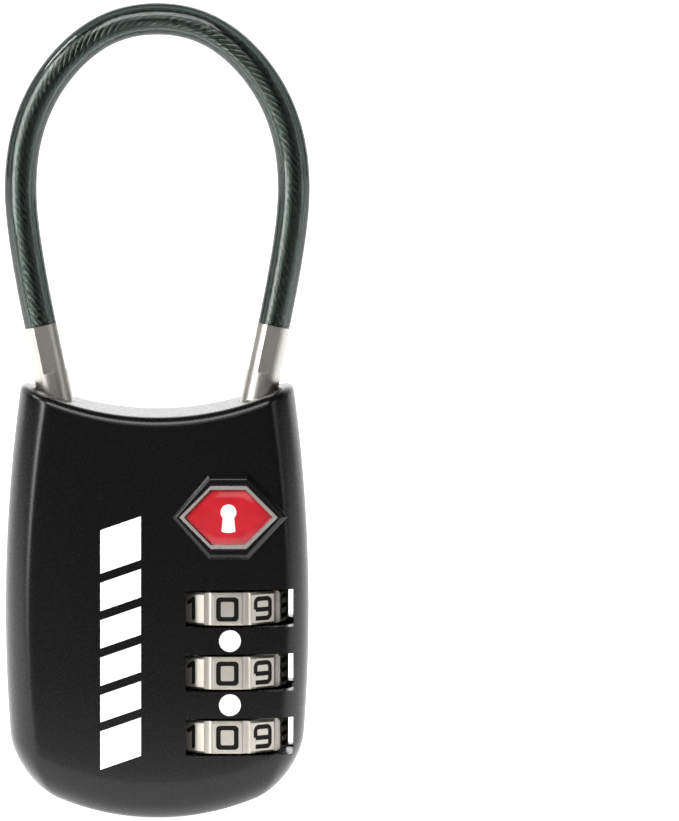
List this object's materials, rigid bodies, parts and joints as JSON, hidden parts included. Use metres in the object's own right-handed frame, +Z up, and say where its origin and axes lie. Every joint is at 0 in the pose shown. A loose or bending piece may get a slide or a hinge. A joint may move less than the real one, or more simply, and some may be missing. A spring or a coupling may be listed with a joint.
{
  "type": "luggage combination padlock",
  "caption": "Small upright padlock with a flexible cable shackle, number dials beside a blank face, a hexagonal badge and a key cylinder at the back.",
  "frame": {"origin": "under the middle of the case, at its lowest point", "axes": "+X to the lock's right seen from the front, +Y to its back, +Z up through the shackle"},
  "size_m": [0.0302, 0.0126, 0.0805],
  "materials": {
    "black_paint": "satin baked paint",
    "dark_steel": "blackened",
    "white_paint": "filled paint",
    "bright_metal": "nickel plated",
    "red_enamel": "glossy",
    "dial_metal": "satin nickel",
    "black_enamel": "filled paint",
    "brass": "turned",
    "steel": "zinc plated",
    "spring_steel": "drawn wire and strip",
    "black_plastic": "moulded",
    "smoky_vinyl": "clear, smoky grey-green"
  },
  "bodies": {
    "case": {"front_case": "black_paint", "back_cover": "black_paint", "rivets": "dark_steel", "index_dots": "white_paint", "badge_plate": "bright_metal", "badge_enamel": "red_enamel", "cylinder_housing": "bright_metal", "detent_spring": "spring_steel", "reset_spring": "spring_steel", "bolt_spring": "spring_steel", "ferrule_left": "bright_metal", "stem_left": "steel", "cable_core": "dark_steel", "cable_jacket": "smoky_vinyl"},
    "bracket": {"reset_bracket": "steel", "reset_button": "black_plastic"},
    "spindle": {"spindle": "steel", "cam_plate": "steel"},
    "bolt": {"bolt": "steel", "bolt_pin": "steel"},
    "plug": {"key_plug": "brass", "wafers": "brass", "hook": "steel", "hook_rivet": "steel"},
    "free_end": {"ferrule_right": "bright_metal", "stem_right": "steel"},
    "dial_lower": {"dial_lower": "dial_metal", "numerals_lower": "black_enamel"},
    "sleeve_lower": {"sleeve_lower": "brass"},
    "dial_middle": {"dial_middle": "dial_metal", "numerals_middle": "black_enamel"},
    "sleeve_middle": {"sleeve_middle": "brass"},
    "dial_upper": {"dial_upper": "dial_metal", "numerals_upper": "black_enamel"},
    "sleeve_upper": {"sleeve_upper": "brass"}
  },
  "joints": [
    {"name": "dial_lower_spin", "type": "hinge", "parent": "case", "child": "dial_lower", "pos_m": [0.0069, -0.0002, 0.0084], "axis": [0, 0, 1], "continuous": true, "deforming": ["detent_spring"]},
    {"name": "dial_middle_spin", "type": "hinge", "parent": "case", "child": "dial_middle", "pos_m": [0.0069, -0.0002, 0.01475], "axis": [0, 0, 1], "continuous": true, "deforming": ["detent_spring"]},
    {"name": "dial_upper_spin", "type": "hinge", "parent": "case", "child": "dial_upper", "pos_m": [0.0069, -0.0002, 0.0211], "axis": [0, 0, 1], "continuous": true, "deforming": ["detent_spring"]},
    {"name": "reset_slide", "type": "slide", "parent": "case", "child": "bracket", "axis": [0, 0, -1], "range_m": [0, 0.0013], "deforming": ["reset_spring"]},
    {"name": "sleeve_lower_spin", "type": "hinge", "parent": "bracket", "child": "sleeve_lower", "pos_m": [0.0069, -0.0002, 0.0084], "axis": [0, 0, 1], "continuous": true},
    {"name": "sleeve_middle_spin", "type": "hinge", "parent": "bracket", "child": "sleeve_middle", "pos_m": [0.0069, -0.0002, 0.01475], "axis": [0, 0, 1], "continuous": true},
    {"name": "sleeve_upper_spin", "type": "hinge", "parent": "bracket", "child": "sleeve_upper", "pos_m": [0.0069, -0.0002, 0.0211], "axis": [0, 0, 1], "continuous": true},
    {"name": "spindle_lift", "type": "slide", "parent": "case", "child": "spindle", "axis": [0, 0, 1], "range_m": [-0.0026, 0]},
    {"name": "bolt_slide", "type": "slide", "parent": "case", "child": "bolt", "axis": [1, 0, 0], "range_m": [0, 0.0009], "deforming": ["bolt_spring"]},
    {"name": "key_turn", "type": "hinge", "parent": "case", "child": "plug", "pos_m": [-0.0066, 0, 0.0274], "axis": [0, 1, 0], "range_deg": [0, 90]},
    {"name": "shackle_release", "type": "slide", "parent": "case", "child": "free_end", "axis": [0.2045, 0, 0.9789], "range_m": [0, 0.012], "deforming": ["cable_core", "cable_jacket"]}
  ],
  "couplings": [
    {"joint": "sleeve_lower_spin", "follows": "dial_lower_spin", "ratio": 1},
    {"joint": "sleeve_middle_spin", "follows": "dial_middle_spin", "ratio": 1},
    {"joint": "sleeve_upper_spin", "follows": "dial_upper_spin", "ratio": 1},
    {"joint": "bolt_slide", "follows": "spindle_lift", "ratio": -0.34615}
  ]
}
